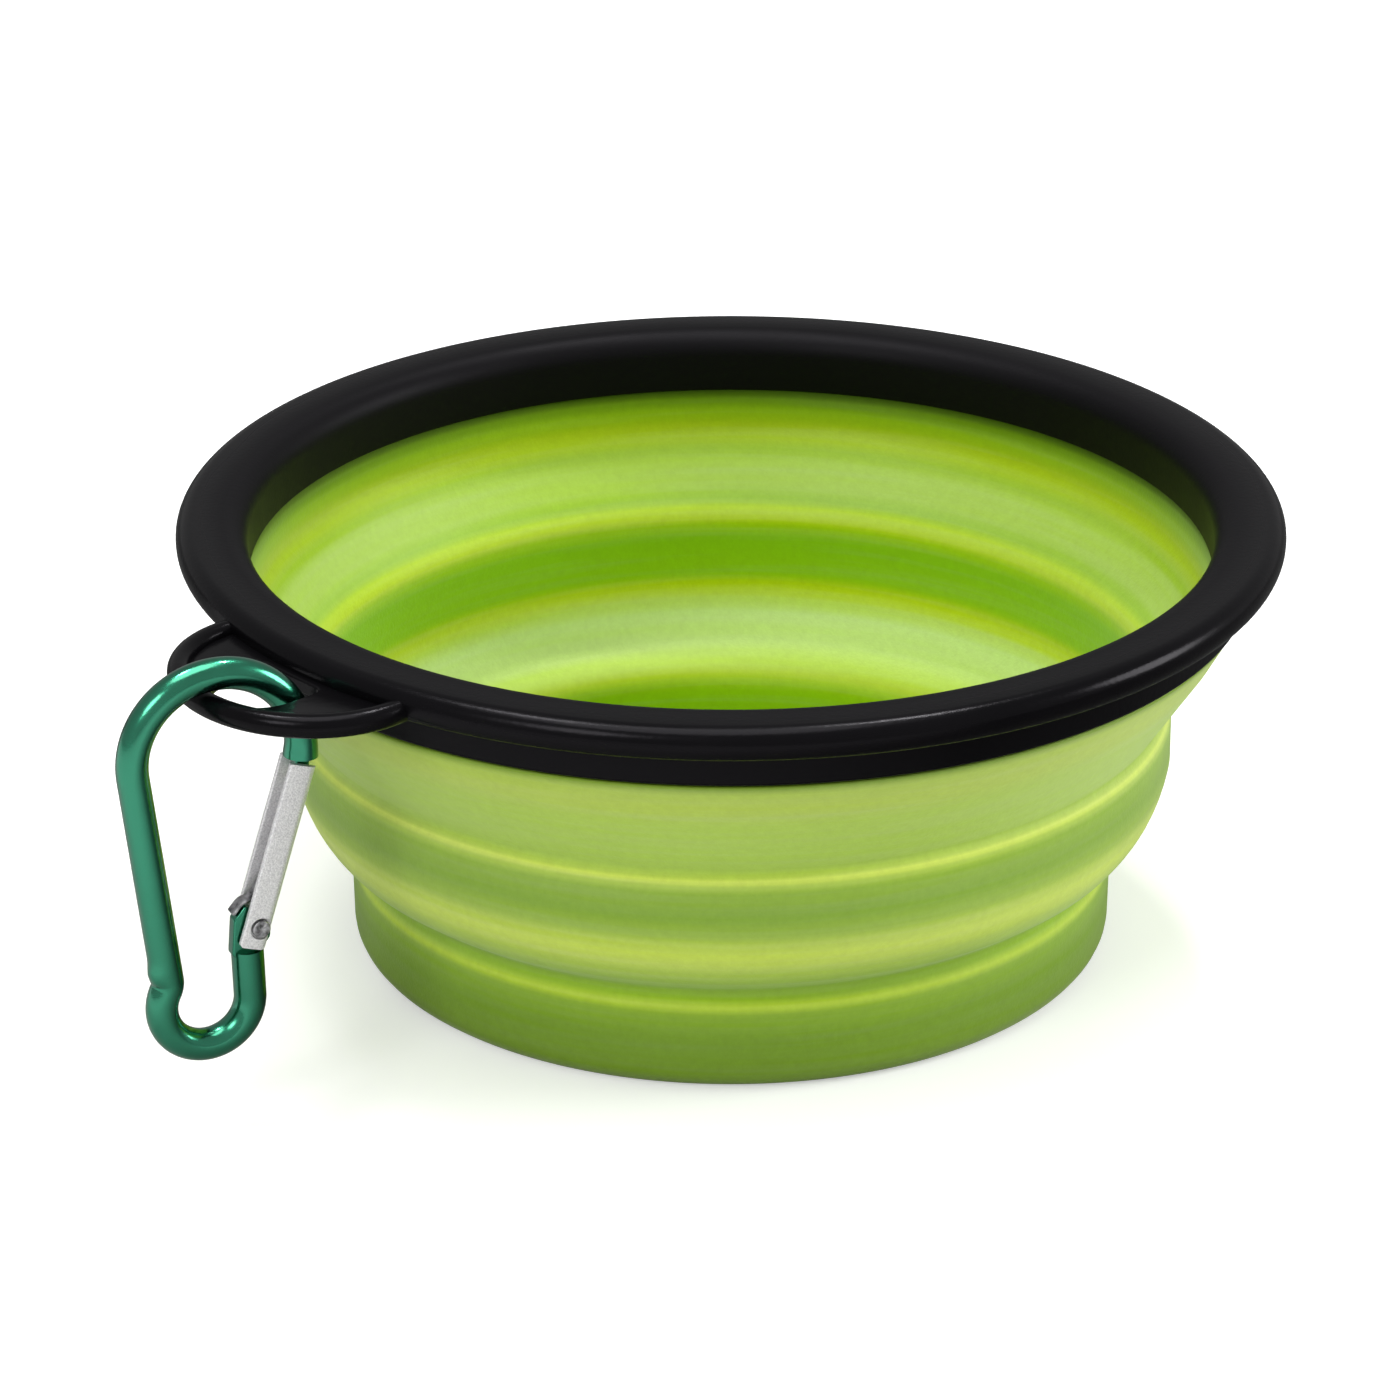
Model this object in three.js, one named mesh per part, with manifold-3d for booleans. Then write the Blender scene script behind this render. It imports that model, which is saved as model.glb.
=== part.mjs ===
// Collapsible pet bowl: a soft cup that folds flat into a stiff rim, with a carabiner on the rim's tab.
// Millimetres, +Z up. The origin is the centre of the base's underside.
import * as THREE from 'three';
import { mergeVertices } from 'three/addons/utils/BufferGeometryUtils.js';
import Module from 'manifold-3d';

const wasm = await Module();
wasm.setup();

// Cup, from the base up
const FLOOR_THICKNESS = 2.2;
const BASE_EDGE_RADIUS = 2;
const CUP_INNER_RADIUS = 43.8;
const LOWER_WALL_HEIGHT = 13.2;
const LOWER_WALL_THICKNESS = 1.7;
const FOLD_THICKNESS = 1.6;
const LOWER_FOLD_HEIGHT = 9.3;
const LOWER_FOLD_STEP = 6.4;
const LOWER_FOLD_BOW = 1.8;
const MIDDLE_WALL_HEIGHT = 9.4;
const MIDDLE_WALL_THICKNESS = 2.1;
const UPPER_FOLD_HEIGHT = 9.6;
const UPPER_FOLD_STEP = 6.4;
const UPPER_FOLD_BOW = 0.2;
const UPPER_WALL_HEIGHT = 4.6;
const CREASE_RADIUS = 1.2;
const MIDDLE_CHAMFER = 2.4;
const SHOULDER_INSET = 0.5;

// Rim
const SKIRT_THICKNESS = 1.4;
const SKIRT_HEIGHT = 7.6;
const CUP_LIP_THICKNESS = 1;
const CUP_LIP_HEIGHT = 4.6;
const COLLAR_THICKNESS = 1.5;
const COLLAR_DROP = 0.7;
const BEAD_OVERHANG = 3.9;
const BEAD_HEIGHT = 4.1;
const RIM_INNER_EDGE_RADIUS = 1.4;
const RIM_INNER_DROP = 0.7;

// Tab on the rim
const TAB_AZIMUTH = THREE.MathUtils.degToRad(222.5);
const TAB_HALF_WIDTH = 16.3;
const TAB_PLATE_THICKNESS = 1.6;
const TAB_LIP_RADIUS = 1.4;
const TAB_RISE = 0.05;
const TAB_ROOT_INSET = 1;
const TAB_HOLE_LAND = 0.8;
const TAB_HOLE_CORNER = 1.2;

// Carabiner, drawn in its own plane with X across, Z up and its origin at the centre of the top arc
const WIRE_DIAMETER = 3.7;
const ARC_RADIUS = 9.8;
const NOSE_LENGTH = 0.9;
const LOOP_DROP = 29.9;
const LOOP_RADIUS = 5.2;
const LOOP_START = THREE.MathUtils.degToRad(158);
const BEND_REACH = 1.1;
const NECK_LEAN = THREE.MathUtils.degToRad(6);
const NECK_LENGTH = 5.6;
const LUG_REACH = 2.6;
const LUG_THICKNESS = 1.7;
const LUG_CORNER = 0.6;
const LUG_EYE_RADIUS = 1.5;
const LUG_PEAK = 2.5;
const LUG_PEAK_INSET = 1.2;
const LUG_SHOULDER = 0.8;
const LUG_DROP = 3.8;
const RIVET_RISE = 9.1;
const RIVET_OFFSET = 0.3;
const RIVET_SHAFT_DIAMETER = 1.3;
const RIVET_HEAD_DIAMETER = 2.3;
const RIVET_HEAD_HEIGHT = 0.45;
const GATE_WALL = 0.65;
const GATE_WIDTH = 3.3;
const GATE_BACK = 1.35;
const GATE_TAIL = 2.5;
const GATE_EDGE_RADIUS = 1;
const GATE_BACK_START = 3.2;
const TONGUE_LENGTH = 2;
const TONGUE_WIDTH = 1.6;
const SPRING_THICKNESS = 0.4;
const SPRING_WIDTH = 1.6;
const SPRING_LENGTH = 10;
const SPRING_FOOT_INSET = 0.5;

// How the carabiner hangs on the tab's lip
const HANG_TURN = THREE.MathUtils.degToRad(18.5);
const HANG_TILT = THREE.MathUtils.degToRad(4.6);
const HANG_SIDE = THREE.MathUtils.degToRad(9.6);

// Clearances
const SEAT_GAP = 0.3;
const FOLD_GAP = 0.3;
const HANG_GAP = 0.5;
const HOLE_CLEARANCE = 0.4;
const RUNNING_GAP = 0.35;
const CUT_PAST = 1;

// Mesh fineness
const ROUND_SEGMENTS = 64;
const ARC_STEPS = 2;
const BOW_STEPS = 5;
const WIRE_SIDES = 12;
const WIRE_STEPS = 44;
const LIP_SIDES = 10;
const LIP_STEPS = 26;
const PIN_SIDES = 16;
const CORNER_STEPS = 4;
const EYE_STEPS = 8;

// Heights and radii that follow from the stack
const lowerFoldZ = LOWER_WALL_HEIGHT;
const middleZ = lowerFoldZ + LOWER_FOLD_HEIGHT;
const upperFoldZ = middleZ + MIDDLE_WALL_HEIGHT;
const upperZ = upperFoldZ + UPPER_FOLD_HEIGHT;
const skirtZ = upperZ + UPPER_WALL_HEIGHT + SEAT_GAP;
const topZ = skirtZ + SKIRT_HEIGHT;
const collarZ = skirtZ - COLLAR_DROP;
const beadZ = topZ - BEAD_HEIGHT;
const lipTopZ = skirtZ + CUP_LIP_HEIGHT;
const channelZ = lipTopZ + SEAT_GAP;

const middleRadius = CUP_INNER_RADIUS + LOWER_FOLD_STEP;
const upperRadius = middleRadius + UPPER_FOLD_STEP;
const skirtRadius = upperRadius;
const lipInner = skirtRadius + SKIRT_THICKNESS + SEAT_GAP;
const lipOuter = lipInner + CUP_LIP_THICKNESS;
const collarInner = lipOuter + SEAT_GAP;
const collarRadius = collarInner + COLLAR_THICKNESS;
const rimRadius = collarRadius + BEAD_OVERHANG;

// Carabiner points that other pieces share
const wireRadius = WIRE_DIAMETER / 2;
const barDistance = ARC_RADIUS - wireRadius - HANG_GAP - TAB_LIP_RADIUS;
const barX = -barDistance * Math.sin(HANG_SIDE);
const barZ = barDistance * Math.cos(HANG_SIDE);
const rivetX = LOOP_RADIUS + RIVET_OFFSET;
const rivetZ = RIVET_RISE - LOOP_DROP;
const gateInnerGap = LUG_THICKNESS + 2 * RUNNING_GAP;
const gateDepth = gateInnerGap + 2 * GATE_WALL;
const pinHoleRadius = RIVET_SHAFT_DIAMETER / 2 + SEAT_GAP;

// Tab sizes that follow from the carabiner passing through its hole
const legReach = Math.sqrt(ARC_RADIUS ** 2 - (barZ - TAB_LIP_RADIUS) ** 2) - barX;
const holeInner = rimRadius + TAB_HOLE_LAND;
const holeOuter = holeInner + legReach * Math.cos(HANG_TURN) + wireRadius + HOLE_CLEARANCE - TAB_LIP_RADIUS;
const holeHalfWidth = legReach * Math.sin(HANG_TURN) + wireRadius + HOLE_CLEARANCE;
const barRadius = holeOuter + TAB_LIP_RADIUS;
const tabLipZ = beadZ + TAB_LIP_RADIUS + TAB_RISE;
const tabPlateZ = tabLipZ - TAB_LIP_RADIUS + TAB_RISE;
const tabRootRadius = rimRadius - TAB_ROOT_INSET;
const tabSide = TAB_HALF_WIDTH - TAB_LIP_RADIUS;

const solidOf = (geometry) => {
  const bare = geometry.clone();
  bare.deleteAttribute('normal');
  bare.deleteAttribute('uv');
  const merged = mergeVertices(bare);
  return new wasm.Manifold(new wasm.Mesh({
    numProp: 3,
    vertProperties: Float32Array.from(merged.attributes.position.array),
    triVerts: Uint32Array.from(merged.index.array),
  }));
};

const geometryOf = (solid) => {
  const { vertProperties, triVerts } = solid.getMesh();
  const geometry = new THREE.BufferGeometry();
  geometry.setAttribute('position', new THREE.BufferAttribute(vertProperties, 3));
  geometry.setIndex(new THREE.BufferAttribute(triVerts, 1));
  geometry.computeVertexNormals();
  return geometry;
};

// A ring or cup turned about Z from a path drawn with radius across and height up
const turned = (path) => {
  const points = path.getPoints(ARC_STEPS);
  const geometry = new THREE.LatheGeometry(points, ROUND_SEGMENTS);
  return geometry.rotateX(Math.PI / 2);
};

const polygon = (points) => {
  const path = new THREE.Path();
  path.moveTo(...points[0]);
  points.slice(1).forEach((point) => path.lineTo(...point));
  path.closePath();
  return path;
};

// A plate drawn in X and Z, with its thickness centred on Y
const plate = (shape, thickness) => {
  const geometry = new THREE.ExtrudeGeometry(shape, {
    depth: thickness,
    bevelEnabled: false,
    curveSegments: EYE_STEPS,
  });
  return geometry.translate(0, 0, -thickness / 2).rotateX(Math.PI / 2);
};

const box = (x0, x1, y0, y1, z0, z1) => {
  const geometry = new THREE.BoxGeometry(x1 - x0, y1 - y0, z1 - z0);
  return geometry.translate((x0 + x1) / 2, (y0 + y1) / 2, (z0 + z1) / 2);
};

const roundBar = (radius, path, sides, steps) => {
  const section = new THREE.Shape();
  section.absarc(0, 0, radius, 0, 2 * Math.PI);
  return new THREE.ExtrudeGeometry(section, { extrudePath: path, steps, curveSegments: sides });
};

// Arc of an ellipse in the plane of two axes, as a path in space
class PlaneArc extends THREE.Curve {
  constructor(centre, across, up, start, end) {
    super();
    Object.assign(this, { centre, across, up, start, end });
  }

  getPoint(t) {
    const angle = this.start + (this.end - this.start) * t;
    return this.centre.clone()
      .addScaledVector(this.across, Math.cos(angle))
      .addScaledVector(this.up, Math.sin(angle));
  }
}

const mesh = (name, geometry, look) => {
  const part = new THREE.Mesh(geometry, new THREE.MeshStandardMaterial(look));
  part.name = name;
  return part;
};

const SILICONE = { color: 0x9cc43c, roughness: 0.5, metalness: 0 };
const BLACK_PLASTIC = { color: 0x1c1c1f, roughness: 0.42, metalness: 0 };
const GREEN_ALUMINIUM = { color: 0x2f8f66, roughness: 0.28, metalness: 0.9 };
const BARE_ALUMINIUM = { color: 0xd2d0d2, roughness: 0.5, metalness: 0.9 };
const STEEL = { color: 0x9a9a9c, roughness: 0.35, metalness: 1 };

// The two ends of a fold's web, from the inner line of the fold and the web's thickness
const foldLine = (lowRadius, lowZ, step, height) => {
  const inner = new THREE.Vector2(lowRadius, lowZ);
  const along = new THREE.Vector2(step, height);
  const out = new THREE.Vector2(height, -step).setLength(FOLD_THICKNESS);
  const at = (share) => {
    const inside = inner.clone().addScaledVector(along, share);
    return { inside, outside: inside.clone().add(out) };
  };
  const trim = FOLD_GAP / along.length();
  return { low: at(0), high: at(1), webLow: at(trim), webHigh: at(1 - trim) };
};

const lowerFold = foldLine(CUP_INNER_RADIUS, lowerFoldZ, LOWER_FOLD_STEP, LOWER_FOLD_HEIGHT);
const upperFold = foldLine(middleRadius, upperFoldZ, UPPER_FOLD_STEP, UPPER_FOLD_HEIGHT);

const bowed = (from, to, out) => {
  const control = from.clone().lerp(to, 0.5).add(out);
  return new THREE.QuadraticBezierCurve(from, control, to).getPoints(BOW_STEPS);
};

// A web that bows out from the straight line between its ends
const foldWeb = ({ webLow, webHigh }, bow) => {
  const out = webLow.outside.clone().sub(webLow.inside).setLength(2 * bow);
  const outside = bowed(webLow.outside, webHigh.outside, out);
  const inside = bowed(webHigh.inside, webLow.inside, out);
  return turned(polygon([...outside, ...inside].map((point) => point.toArray())));
};

const baseCup = () => {
  const outer = CUP_INNER_RADIUS + LOWER_WALL_THICKNESS;
  const { inside, outside } = lowerFold.low;
  const path = new THREE.Path();
  path.moveTo(0, 0);
  path.lineTo(outer - BASE_EDGE_RADIUS, 0);
  path.absarc(outer - BASE_EDGE_RADIUS, BASE_EDGE_RADIUS, BASE_EDGE_RADIUS, -Math.PI / 2, 0);
  path.lineTo(outer, outside.y - CREASE_RADIUS);
  path.lineTo(outside.x, outside.y);
  path.lineTo(inside.x, inside.y);
  path.lineTo(CUP_INNER_RADIUS, FLOOR_THICKNESS + CREASE_RADIUS);
  path.lineTo(CUP_INNER_RADIUS - CREASE_RADIUS, FLOOR_THICKNESS);
  path.lineTo(0, FLOOR_THICKNESS);
  return turned(path);
};

const middleWall = () => {
  const outer = middleRadius + MIDDLE_WALL_THICKNESS;
  const { high } = lowerFold;
  const { low } = upperFold;
  return turned(polygon([
    high.outside.toArray(),
    [outer, high.outside.y + MIDDLE_CHAMFER],
    [outer, low.outside.y - MIDDLE_CHAMFER],
    low.outside.toArray(),
    low.inside.toArray(),
    high.inside.toArray(),
  ]));
};

const upperWall = () => {
  const { inside, outside } = upperFold.high;
  const shoulderZ = collarZ - SEAT_GAP;
  return turned(polygon([
    outside.toArray(),
    [collarRadius - SHOULDER_INSET, shoulderZ],
    [lipOuter, shoulderZ],
    [lipOuter, lipTopZ],
    [lipInner, lipTopZ],
    [lipInner, skirtZ - SEAT_GAP],
    [upperRadius, skirtZ - SEAT_GAP],
    inside.toArray(),
  ]));
};

const rimSection = () => {
  const edge = BEAD_HEIGHT / 2;
  const innerTopZ = topZ - RIM_INNER_DROP;
  const path = new THREE.Path();
  path.moveTo(skirtRadius + SKIRT_THICKNESS, skirtZ);
  path.lineTo(skirtRadius + SKIRT_THICKNESS, channelZ);
  path.lineTo(collarInner, channelZ);
  path.lineTo(collarInner, collarZ);
  path.lineTo(collarRadius, collarZ);
  path.lineTo(collarRadius, beadZ);
  path.lineTo(rimRadius - edge, beadZ);
  path.absarc(rimRadius - edge, beadZ + edge, edge, -Math.PI / 2, Math.PI / 2);
  path.lineTo(skirtRadius + RIM_INNER_EDGE_RADIUS, innerTopZ);
  path.absarc(skirtRadius + RIM_INNER_EDGE_RADIUS, innerTopZ - RIM_INNER_EDGE_RADIUS, RIM_INNER_EDGE_RADIUS,
    Math.PI / 2, Math.PI);
  path.lineTo(skirtRadius, skirtZ);
  path.closePath();
  return path;
};

// The tab, drawn with X outwards from the bowl's axis: a plate, a round lip on its edge and an arched hole
const tabPlate = () => {
  const root = (collarInner + collarRadius) / 2;
  const shape = new THREE.Shape();
  shape.moveTo(root, -tabSide);
  shape.lineTo(tabRootRadius, -tabSide);
  shape.absellipse(tabRootRadius, 0, barRadius - tabRootRadius, tabSide, -Math.PI / 2, Math.PI / 2);
  shape.lineTo(root, tabSide);
  shape.closePath();
  const geometry = new THREE.ExtrudeGeometry(shape, {
    depth: TAB_PLATE_THICKNESS, bevelEnabled: false, curveSegments: LIP_STEPS,
  });
  return geometry.translate(0, 0, tabPlateZ);
};

const tabLip = () => {
  const centre = new THREE.Vector3(tabRootRadius, 0, tabLipZ);
  const across = new THREE.Vector3(barRadius - tabRootRadius, 0, 0);
  const path = new THREE.CurvePath();
  path.add(new THREE.LineCurve3(
    new THREE.Vector3(collarRadius, -tabSide, tabLipZ), new THREE.Vector3(tabRootRadius, -tabSide, tabLipZ)));
  path.add(new PlaneArc(centre, across, new THREE.Vector3(0, tabSide, 0), -Math.PI / 2, Math.PI / 2));
  path.add(new THREE.LineCurve3(
    new THREE.Vector3(tabRootRadius, tabSide, tabLipZ), new THREE.Vector3(collarRadius, tabSide, tabLipZ)));
  return roundBar(TAB_LIP_RADIUS, path, LIP_SIDES, LIP_STEPS);
};

const tabHole = () => {
  const arch = holeOuter - holeHalfWidth;
  const shape = new THREE.Shape();
  shape.moveTo(holeInner + TAB_HOLE_CORNER, -holeHalfWidth);
  shape.lineTo(arch, -holeHalfWidth);
  shape.absarc(arch, 0, holeHalfWidth, -Math.PI / 2, Math.PI / 2);
  shape.lineTo(holeInner + TAB_HOLE_CORNER, holeHalfWidth);
  shape.absarc(holeInner + TAB_HOLE_CORNER, holeHalfWidth - TAB_HOLE_CORNER, TAB_HOLE_CORNER,
    Math.PI / 2, Math.PI);
  shape.absarc(holeInner + TAB_HOLE_CORNER, TAB_HOLE_CORNER - holeHalfWidth, TAB_HOLE_CORNER,
    Math.PI, 1.5 * Math.PI);
  const geometry = new THREE.ExtrudeGeometry(shape, {
    depth: TAB_PLATE_THICKNESS + 2 * CUT_PAST, bevelEnabled: false, curveSegments: EYE_STEPS,
  });
  return geometry.translate(0, 0, tabPlateZ - CUT_PAST);
};

const rimRing = () => {
  const plateWithHole = solidOf(tabPlate()).subtract(solidOf(tabHole()));
  const tab = geometryOf(plateWithHole.add(solidOf(tabLip()))).rotateZ(TAB_AZIMUTH);
  return geometryOf(solidOf(turned(rimSection())).add(solidOf(tab)));
};

// The wire's centre line: nose, top arc, straight spine, a bend into the lower loop, and the neck to the lug
const hookPath = () => {
  const point = (x, z) => new THREE.Vector3(x, 0, z);
  const axisX = (length) => point(length, 0);
  const axisZ = (length) => point(0, length);
  const loopCentre = point(0, -LOOP_DROP);
  const around = (radius, angle) => point(radius * Math.cos(angle), radius * Math.sin(angle));
  const loopAt = (angle) => around(LOOP_RADIUS, angle).add(loopCentre);
  const bendEnd = loopAt(LOOP_START);
  const bend = bendEnd.clone().add(point(Math.sin(LOOP_START), -Math.cos(LOOP_START)).setLength(BEND_REACH));
  const distance = Math.hypot(bend.x, bend.z);
  const spineAngle = Math.atan2(bend.z, bend.x) + 2 * Math.PI - Math.acos(ARC_RADIUS / distance);
  const spineTop = around(ARC_RADIUS, spineAngle);
  const bendStart = bend.clone().add(spineTop.clone().sub(bend).setLength(BEND_REACH));
  const loopEnd = 2 * Math.PI + NECK_LEAN;
  const neckFoot = loopAt(loopEnd);
  const neckTop = neckFoot.clone().add(point(-Math.sin(loopEnd), Math.cos(loopEnd)).setLength(NECK_LENGTH));
  const path = new THREE.CurvePath();
  path.add(new THREE.LineCurve3(point(ARC_RADIUS, -NOSE_LENGTH), point(ARC_RADIUS, 0)));
  path.add(new PlaneArc(point(0, 0), axisX(ARC_RADIUS), axisZ(ARC_RADIUS), 0, spineAngle));
  path.add(new THREE.LineCurve3(spineTop, bendStart));
  path.add(new THREE.QuadraticBezierCurve3(bendStart, bend, bendEnd));
  path.add(new PlaneArc(loopCentre, axisX(LOOP_RADIUS), axisZ(LOOP_RADIUS), LOOP_START, loopEnd));
  path.add(new THREE.LineCurve3(neckFoot, neckTop));
  return path;
};

const lugPlate = () => {
  const left = LOOP_RADIUS - LUG_REACH;
  const bottom = rivetZ - LUG_DROP;
  const shape = new THREE.Shape();
  shape.moveTo(left, bottom + LUG_CORNER);
  shape.lineTo(left + LUG_CORNER, bottom);
  shape.lineTo(rivetX, bottom);
  shape.lineTo(rivetX + LUG_EYE_RADIUS, rivetZ - LUG_EYE_RADIUS);
  shape.absarc(rivetX, rivetZ, LUG_EYE_RADIUS, 0, Math.PI / 2);
  shape.lineTo(left + LUG_PEAK_INSET, rivetZ + LUG_PEAK);
  shape.lineTo(left, rivetZ + LUG_SHOULDER);
  shape.closePath();
  return plate(shape, LUG_THICKNESS);
};

const pin = (radius, length) => new THREE.CylinderGeometry(radius, radius, length, PIN_SIDES);

const carabinerHook = () => {
  const wire = solidOf(roundBar(wireRadius, hookPath(), WIRE_SIDES, WIRE_STEPS));
  const tongue = box(ARC_RADIUS - TONGUE_WIDTH / 2, ARC_RADIUS + TONGUE_WIDTH / 2,
    -LUG_THICKNESS / 2, LUG_THICKNESS / 2, -NOSE_LENGTH - TONGUE_LENGTH, 0);
  const hole = pin(pinHoleRadius, WIRE_DIAMETER).translate(rivetX, 0, rivetZ);
  return geometryOf(wire.add(solidOf(tongue)).add(solidOf(lugPlate())).subtract(solidOf(hole)));
};

// The gate and its spring are drawn about the rivet, with Z up along the gate
const gateTop = new THREE.Vector2(ARC_RADIUS - rivetX + GATE_WIDTH / 2 - GATE_BACK, -NOSE_LENGTH - rivetZ);
const gateLean = Math.atan2(gateTop.x, gateTop.y);
const gateLength = gateTop.length() - SEAT_GAP - wireRadius * Math.sin(gateLean);

const gateChannel = () => {
  const front = GATE_BACK - GATE_WIDTH;
  const half = gateDepth / 2;
  const inner = gateInnerGap / 2;
  const shape = new THREE.Shape();
  shape.moveTo(front, -half);
  shape.lineTo(GATE_BACK - GATE_EDGE_RADIUS, -half);
  shape.absarc(GATE_BACK - GATE_EDGE_RADIUS, GATE_EDGE_RADIUS - half, GATE_EDGE_RADIUS, -Math.PI / 2, 0);
  shape.absarc(GATE_BACK - GATE_EDGE_RADIUS, half - GATE_EDGE_RADIUS, GATE_EDGE_RADIUS, 0, Math.PI / 2);
  shape.lineTo(front, half);
  shape.lineTo(front, inner);
  shape.lineTo(GATE_BACK - GATE_WALL, inner);
  shape.lineTo(GATE_BACK - GATE_WALL, -inner);
  shape.lineTo(front, -inner);
  shape.closePath();
  const geometry = new THREE.ExtrudeGeometry(shape, {
    depth: gateLength + GATE_TAIL, bevelEnabled: false, curveSegments: CORNER_STEPS,
  });
  return geometry.translate(0, 0, -GATE_TAIL);
};

// Side view of the gate with round corners at the rivet's end
const gateProfile = () => {
  const front = GATE_BACK - GATE_WIDTH;
  const corner = GATE_EDGE_RADIUS;
  const shape = new THREE.Shape();
  shape.moveTo(front + corner, -GATE_TAIL);
  shape.lineTo(GATE_BACK - corner, -GATE_TAIL);
  shape.absarc(GATE_BACK - corner, corner - GATE_TAIL, corner, -Math.PI / 2, 0);
  shape.lineTo(GATE_BACK, gateLength);
  shape.lineTo(front, gateLength);
  shape.lineTo(front, corner - GATE_TAIL);
  shape.absarc(front + corner, corner - GATE_TAIL, corner, Math.PI, 1.5 * Math.PI);
  return plate(shape, gateDepth + 2 * CUT_PAST);
};

const carabinerGate = () => {
  const inner = gateInnerGap / 2;
  const backInside = GATE_BACK - GATE_WALL - SEAT_GAP;
  const backOutside = GATE_BACK + CUT_PAST;
  const slotZ = gateLength - TONGUE_LENGTH - TONGUE_WIDTH / 2;
  const topCut = box(backInside, backOutside, -inner, inner, slotZ, gateLength + CUT_PAST);
  const lugCut = box(backInside, backOutside, -inner, inner, -GATE_TAIL - CUT_PAST, GATE_BACK_START);
  const channel = solidOf(gateChannel()).intersect(solidOf(gateProfile()));
  const hole = pin(pinHoleRadius, gateDepth + 2 * CUT_PAST);
  return geometryOf([topCut, lugCut, hole].reduce((gate, cut) => gate.subtract(solidOf(cut)), channel));
};

const gateRivet = () => {
  const headInside = gateDepth / 2 + SEAT_GAP;
  const shaft = solidOf(pin(RIVET_SHAFT_DIAMETER / 2, 2 * headInside + RIVET_HEAD_HEIGHT));
  const head = (side) => pin(RIVET_HEAD_DIAMETER / 2, RIVET_HEAD_HEIGHT)
    .translate(0, side * (headInside + RIVET_HEAD_HEIGHT / 2), 0);
  return geometryOf(shaft.add(solidOf(head(1))).add(solidOf(head(-1))));
};

// A straight leaf from above the lug's peak up to the inside of the gate's back
const gateSpring = () => {
  const peakX = LUG_PEAK_INSET - LUG_REACH - RIVET_OFFSET;
  const foot = new THREE.Vector2(peakX + SPRING_FOOT_INSET, LUG_PEAK + SEAT_GAP);
  foot.rotateAround(new THREE.Vector2(), gateLean);
  const tipX = GATE_BACK - GATE_WALL - SEAT_GAP;
  const shape = new THREE.Shape();
  shape.moveTo(foot.x - SPRING_THICKNESS, foot.y);
  shape.lineTo(foot.x, foot.y);
  shape.lineTo(tipX, foot.y + SPRING_LENGTH);
  shape.lineTo(tipX - SPRING_THICKNESS, foot.y + SPRING_LENGTH);
  shape.closePath();
  return plate(shape, SPRING_WIDTH);
};

const carabiner = () => {
  const hung = new THREE.Group();
  hung.position.set(barRadius, 0, tabLipZ);
  hung.rotation.set(0, HANG_TILT, Math.PI - HANG_TURN, 'ZYX');
  const wireFrame = new THREE.Group();
  wireFrame.position.set(-barX, 0, -barZ);
  const gateFrame = new THREE.Group();
  gateFrame.position.set(rivetX, 0, rivetZ);
  gateFrame.rotation.y = gateLean;
  const rivet = mesh('gate_rivet', gateRivet(), STEEL);
  rivet.position.set(rivetX, 0, rivetZ);
  gateFrame.add(mesh('carabiner_gate', carabinerGate(), BARE_ALUMINIUM));
  gateFrame.add(mesh('gate_spring', gateSpring(), STEEL));
  wireFrame.add(mesh('carabiner_hook', carabinerHook(), GREEN_ALUMINIUM), rivet, gateFrame);
  hung.add(wireFrame);
  const tabFrame = new THREE.Group();
  tabFrame.rotation.z = TAB_AZIMUTH;
  tabFrame.add(hung);
  return tabFrame;
};

const bowl = new THREE.Group();
bowl.add(
  mesh('rim_ring', rimRing(), BLACK_PLASTIC),
  mesh('upper_wall', upperWall(), SILICONE),
  mesh('upper_fold', foldWeb(upperFold, UPPER_FOLD_BOW), SILICONE),
  mesh('middle_wall', middleWall(), SILICONE),
  mesh('lower_fold', foldWeb(lowerFold, LOWER_FOLD_BOW), SILICONE),
  mesh('base_cup', baseCup(), SILICONE),
  carabiner(),
);

export default bowl;
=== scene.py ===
import math

import bmesh
import bpy
from mathutils import Matrix, Vector


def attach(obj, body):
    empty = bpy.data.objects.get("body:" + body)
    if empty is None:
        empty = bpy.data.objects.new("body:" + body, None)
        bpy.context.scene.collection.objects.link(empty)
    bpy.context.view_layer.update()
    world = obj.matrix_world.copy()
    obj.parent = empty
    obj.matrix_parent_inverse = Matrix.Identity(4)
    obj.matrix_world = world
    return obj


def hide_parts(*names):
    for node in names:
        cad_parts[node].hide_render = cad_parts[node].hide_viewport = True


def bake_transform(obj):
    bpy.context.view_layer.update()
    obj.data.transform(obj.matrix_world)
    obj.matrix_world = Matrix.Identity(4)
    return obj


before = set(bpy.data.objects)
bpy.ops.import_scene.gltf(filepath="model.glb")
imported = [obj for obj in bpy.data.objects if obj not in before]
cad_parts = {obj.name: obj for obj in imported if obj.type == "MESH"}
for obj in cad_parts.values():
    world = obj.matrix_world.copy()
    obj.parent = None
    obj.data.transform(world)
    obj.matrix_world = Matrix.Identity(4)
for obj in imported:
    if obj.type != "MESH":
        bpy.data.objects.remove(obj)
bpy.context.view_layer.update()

MM = 0.001
TURN = 2 * math.pi
UP = Vector((0, 0, 1))
WHITE = (1, 1, 1, 1)

# Fineness of the meshes
LATHE_SEGMENTS = 256
RIVET_SEGMENTS = 48
FILLET_STEPS = 6
RIM_FILLET_STEPS = 10
BOW_STEPS = 12
TAB_STEPS = 64
HOLE_STEPS = 32
CORNER_STEPS = 8
LIP_SIDES = 24
WIRE_SIDES = 40
EYE_SIDES = 32
SINK_SIDES = 48
SPRING_STEPS = 6

# Edges flatter than this many degrees are shaded smooth
SMOOTH_ANGLE = 35
RIM_SMOOTH_ANGLE = 40
METAL_SMOOTH_ANGLE = 30
BEVEL_ANGLE = 38

# How far a cutting solid reaches past what it cuts, in mm
CUT_PAST = 1.0

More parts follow.
